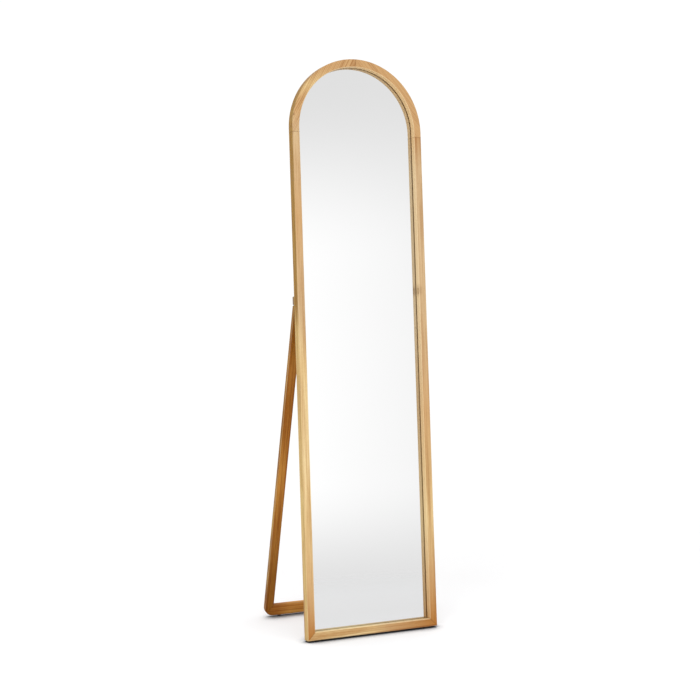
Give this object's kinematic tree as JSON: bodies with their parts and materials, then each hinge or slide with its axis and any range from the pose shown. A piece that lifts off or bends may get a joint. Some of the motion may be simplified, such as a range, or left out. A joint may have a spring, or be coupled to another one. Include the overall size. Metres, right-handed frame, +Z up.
{
  "type": "floor mirror",
  "caption": "Arched full-length floor mirror in a slim wooden frame that leans back on a hinged U-shaped easel stand.",
  "frame": {"origin": "on the floor, under the middle of the whole object as it stands open", "axes": "+Z up; X across the mirror; the mirror faces -Y and the stand is on the +Y side"},
  "size_m": [0.4, 0.3274, 1.6003],
  "materials": {
    "frame_wood": "satin clear lacquer over honey-coloured solid wood",
    "stand_wood": "satin clear lacquer over honey-coloured solid wood",
    "dowel_wood": "plain beech dowel",
    "mirror": "silvered float glass",
    "board": "brown hardboard",
    "steel": "zinc-plated steel",
    "rubber": "matt rubber"
  },
  "bodies": {
    "mirror_frame": {"bottom_rail": "frame_wood", "left_stile": "frame_wood", "right_stile": "frame_wood", "left_arch": "frame_wood", "right_arch": "frame_wood", "apex_dowels": "dowel_wood", "left_spring_dowels": "dowel_wood", "right_spring_dowels": "dowel_wood", "left_mitre_dowel": "dowel_wood", "right_mitre_dowel": "dowel_wood", "mirror_glass": "mirror", "backing_board": "board", "backing_screws": "steel", "left_hinge_block": "stand_wood", "right_hinge_block": "stand_wood", "left_block_screws": "steel", "right_block_screws": "steel", "left_hinge_upper_leaf": "steel", "right_hinge_upper_leaf": "steel", "left_hinge_upper_screws": "steel", "right_hinge_upper_screws": "steel", "left_hinge_pin": "steel", "right_hinge_pin": "steel", "left_frame_pad": "rubber", "right_frame_pad": "rubber"},
    "easel_stand": {"left_leg": "stand_wood", "right_leg": "stand_wood", "crossbar": "stand_wood", "left_stand_dowel": "dowel_wood", "right_stand_dowel": "dowel_wood", "left_hinge_lower_leaf": "steel", "right_hinge_lower_leaf": "steel", "left_hinge_lower_screws": "steel", "right_hinge_lower_screws": "steel", "left_stand_pad": "rubber", "right_stand_pad": "rubber"}
  },
  "joints": [
    {"name": "stand_fold", "type": "hinge", "parent": "mirror_frame", "child": "easel_stand", "pos_m": [0, -0.06822, 0.91426], "axis": [-1, 0, 0], "range_deg": [0, 18]}
  ]
}
